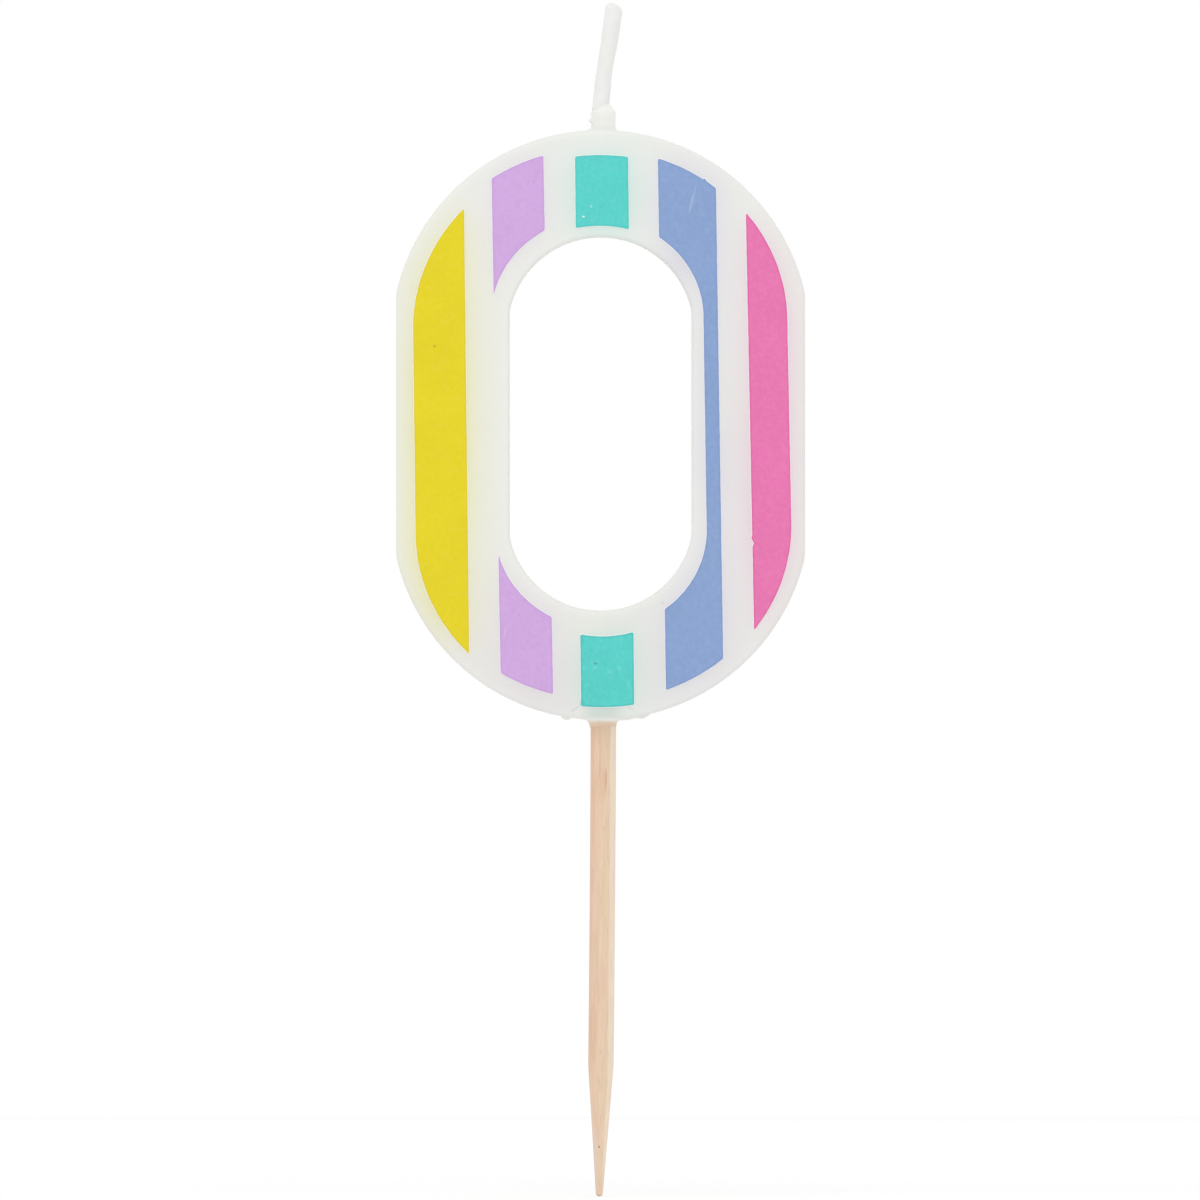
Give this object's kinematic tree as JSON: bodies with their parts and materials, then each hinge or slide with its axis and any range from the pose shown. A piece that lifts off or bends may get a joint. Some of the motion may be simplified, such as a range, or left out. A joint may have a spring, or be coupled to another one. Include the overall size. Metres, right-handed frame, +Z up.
{
  "type": "number candle",
  "caption": "Cast wax zero with an open middle and printed colour stripes, on a round wooden pick, with a leaning waxed wick at its crown.",
  "frame": {"origin": "on the underside of the wax figure at mid-thickness, on its centre line, where the pick comes out and the figure meets the cake", "axes": "+Z up along the figure towards the wick, +X to the right as seen from the printed front, -Y out of the printed front"},
  "size_m": [0.0416, 0.0091, 0.1213],
  "materials": {
    "cast_wax": "satin",
    "cotton_braid": "matte",
    "priming_wax": "satin",
    "birch_wood": "matte",
    "yellow_film": "satin",
    "lilac_film": "satin",
    "turquoise_film": "satin",
    "blue_film": "satin",
    "pink_film": "satin"
  },
  "bodies": {
    "root": {"wax_body": "cast_wax", "wick_core": "cotton_braid", "wick_coat": "priming_wax", "pick": "birch_wood", "yellow_stripe": "yellow_film", "lilac_stripe_top": "lilac_film", "lilac_stripe_bottom": "lilac_film", "turquoise_stripe_top": "turquoise_film", "turquoise_stripe_bottom": "turquoise_film", "blue_stripe": "blue_film", "pink_stripe": "pink_film"}
  },
  "joints": []
}
